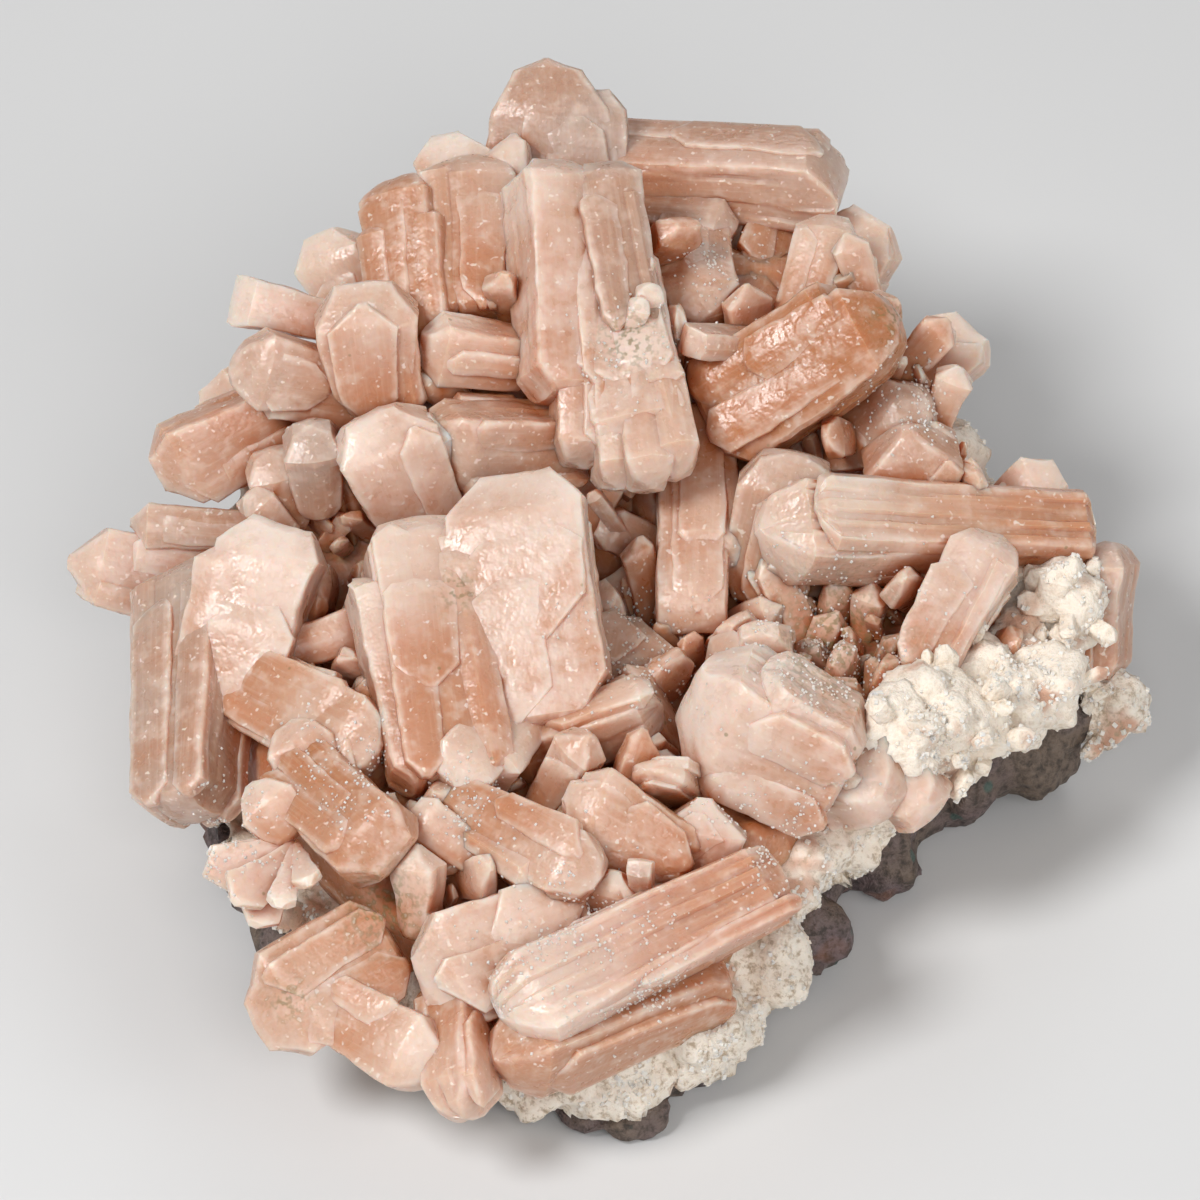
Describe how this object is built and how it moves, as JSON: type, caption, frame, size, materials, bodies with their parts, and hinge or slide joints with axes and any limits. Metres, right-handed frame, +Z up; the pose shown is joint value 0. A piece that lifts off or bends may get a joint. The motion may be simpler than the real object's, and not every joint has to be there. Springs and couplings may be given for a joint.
{
  "type": "stilbite cluster",
  "caption": "Loose specimen of peach stilbite tablets and ribbed sheaves grown over pale granular crust on dark rock, with a flat base to rest on.",
  "frame": {"origin": "middle of the specimen's footprint, at the height of the flat base it rests on", "axes": "+Z up from the table, +Y towards the tall ridge of crystals at the back, +X to the right as seen from the best side"},
  "size_m": [0.1088, 0.112, 0.0548],
  "materials": {
    "stilbite": "satin",
    "crust": "matte",
    "rock": "matte"
  },
  "bodies": {
    "root": {"stilbite_crystals": "stilbite", "pale_crust": "crust", "matrix_rock": "rock"}
  },
  "joints": []
}
